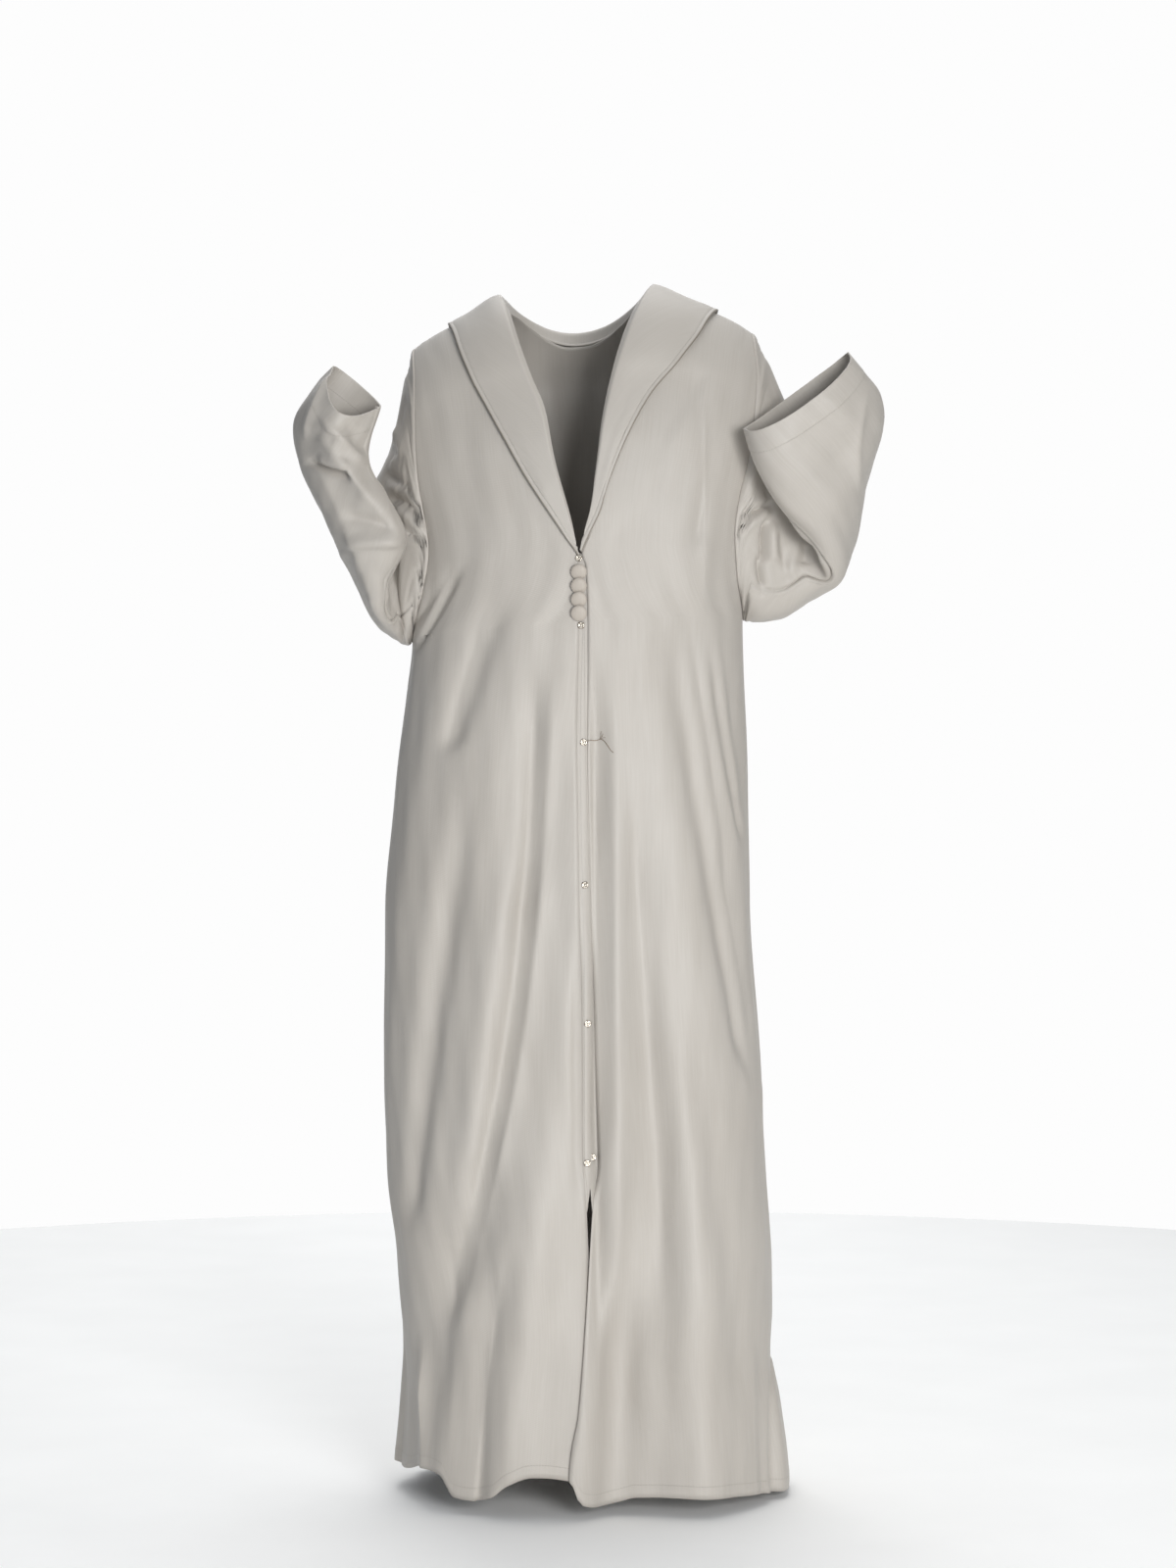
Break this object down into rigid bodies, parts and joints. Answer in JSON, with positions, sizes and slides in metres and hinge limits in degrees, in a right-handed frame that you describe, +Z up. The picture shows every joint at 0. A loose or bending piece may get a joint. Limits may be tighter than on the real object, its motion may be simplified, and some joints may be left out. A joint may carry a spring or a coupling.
{
  "type": "abaya cloak",
  "caption": "Open-fronted full-length cloak with a broad shawl collar, covered buttons, ring snaps and wide bent sleeves, hollow as worn.",
  "frame": {"origin": "middle of the neck opening, level with the shoulder seams, where the wearer's shoulders hold the cloak", "axes": "+X to the wearer's left, -Y out of the cloak's front, +Z up"},
  "size_m": [0.6734, 0.3433, 1.3905],
  "materials": {
    "satin_cloth": "soft satin",
    "covered_button": "soft satin",
    "snap_metal": "nickelled"
  },
  "bodies": {
    "root": {"front_right": "satin_cloth", "front_left": "satin_cloth", "back": "satin_cloth", "placket": "satin_cloth", "collar": "satin_cloth", "sleeve_left": "satin_cloth", "sleeve_right": "satin_cloth", "button_1": "covered_button", "button_2": "covered_button", "button_3": "covered_button", "button_4": "covered_button", "snap_neck": "snap_metal", "snap_button": "snap_metal", "snap_1": "snap_metal", "snap_2": "snap_metal", "snap_3": "snap_metal", "snap_4": "snap_metal", "snap_4_mate": "snap_metal"}
  },
  "joints": []
}
